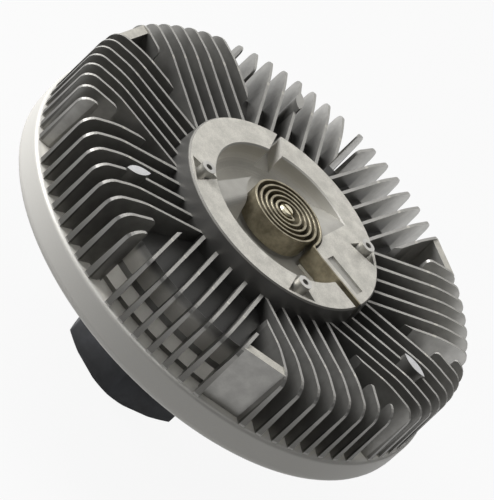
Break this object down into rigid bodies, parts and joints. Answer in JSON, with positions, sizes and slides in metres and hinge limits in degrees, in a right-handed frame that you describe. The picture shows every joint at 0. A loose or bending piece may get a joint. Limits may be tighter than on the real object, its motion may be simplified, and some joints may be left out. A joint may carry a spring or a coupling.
{
  "type": "viscous fan clutch",
  "caption": "Viscous fan clutch: finned cast housing with a bimetal coil in its front ring, turning on a bearing on a hexagon hub with an internal thread.",
  "frame": {"origin": "centre of the hub's rear face, on which the part stands", "axes": "+Z along the axis of rotation towards the finned front; +X and +Y across it"},
  "size_m": [0.252, 0.252, 0.131],
  "materials": {
    "cast_cover": "as-cast die-cast aluminium with a machined ring face",
    "cast_rear": "as-cast die-cast aluminium",
    "machined_aluminium": "turned",
    "black_steel": "black phosphate on steel",
    "bearing_steel": "ground",
    "spring_steel": "dark spring steel",
    "plated_steel": "zinc plated",
    "bright_steel": "bright",
    "bimetal": "bronze-brown rolled strip",
    "bronze": "sintered bronze",
    "rubber": "matt",
    "nylon": "moulded"
  },
  "bodies": {
    "drive": {"drive_hub": "black_steel", "rotor": "machined_aluminium", "bearing_inner_race": "bearing_steel"},
    "housing": {"front_cover": "cast_cover", "rear_housing": "cast_rear", "cover_seal": "rubber", "separator_plate": "plated_steel", "separator_screws": "plated_steel", "pump_scraper": "nylon", "hollow_rivets": "bright_steel", "stem_bush": "bronze", "bimetal_coil": "bimetal", "bearing_outer_race": "bearing_steel", "bearing_seals": "rubber", "bearing_circlip": "spring_steel"},
    "valve": {"valve_stem": "bright_steel", "valve_arm": "plated_steel", "stem_clip": "spring_steel", "stem_o_ring": "rubber"},
    "cage": {"bearing_balls": "bearing_steel", "bearing_cage": "bronze"}
  },
  "joints": [
    {"name": "housing_spin", "type": "hinge", "parent": "drive", "child": "housing", "pos_m": [0, 0, 0.0595], "axis": [0, 0, 1], "continuous": true},
    {"name": "valve_turn", "type": "hinge", "parent": "housing", "child": "valve", "pos_m": [0, 0, 0.109], "axis": [0, 0, 1], "range_deg": [0, 30], "stiffness_Nm_per_rad": 0.1, "deforming": ["bimetal_coil"]},
    {"name": "cage_spin", "type": "hinge", "parent": "drive", "child": "cage", "pos_m": [0, 0, 0.0595], "axis": [0, 0, 1], "continuous": true}
  ],
  "couplings": [
    {"joint": "cage_spin", "follows": "housing_spin", "ratio": 0.5888}
  ]
}
